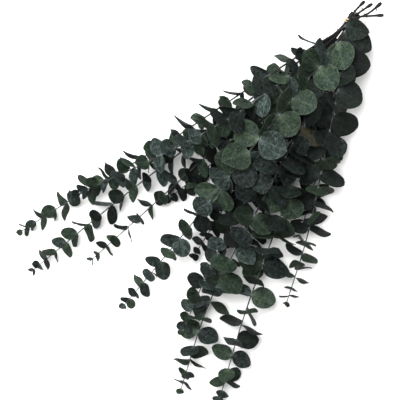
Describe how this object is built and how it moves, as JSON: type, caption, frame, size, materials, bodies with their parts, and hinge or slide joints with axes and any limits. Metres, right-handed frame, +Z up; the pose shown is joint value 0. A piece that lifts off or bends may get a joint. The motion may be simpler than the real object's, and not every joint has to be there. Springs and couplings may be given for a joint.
{
  "type": "bunch of dried eucalyptus",
  "caption": "Bunch of dried eucalyptus sprigs with opposite pairs of round leaves, fanned out and lying flat, held by a rubber band near the cut ends.",
  "frame": {"origin": "on the surface that the bunch lies on, under the middle of its bounding box", "axes": "+X along the bunch from the cut ends to the sprig tips, +Y across it, +Z up"},
  "size_m": [0.624, 0.3944, 0.0932],
  "materials": {
    "leaf": "matte",
    "bark": "matte",
    "latex": "satin"
  },
  "bodies": {
    "root": {"sprig_left_outer": "leaf", "sprig_left_middle": "leaf", "sprig_left_inner": "leaf", "sprig_left_short": "leaf", "sprig_left_under": "leaf", "sprig_centre_top": "leaf", "sprig_centre_middle": "leaf", "sprig_centre_under": "leaf", "sprig_centre_long": "leaf", "sprig_right_under": "leaf", "sprig_right_long": "leaf", "sprig_right_short": "leaf", "sprig_right_outer": "leaf", "rubber_band": "latex"}
  },
  "joints": []
}
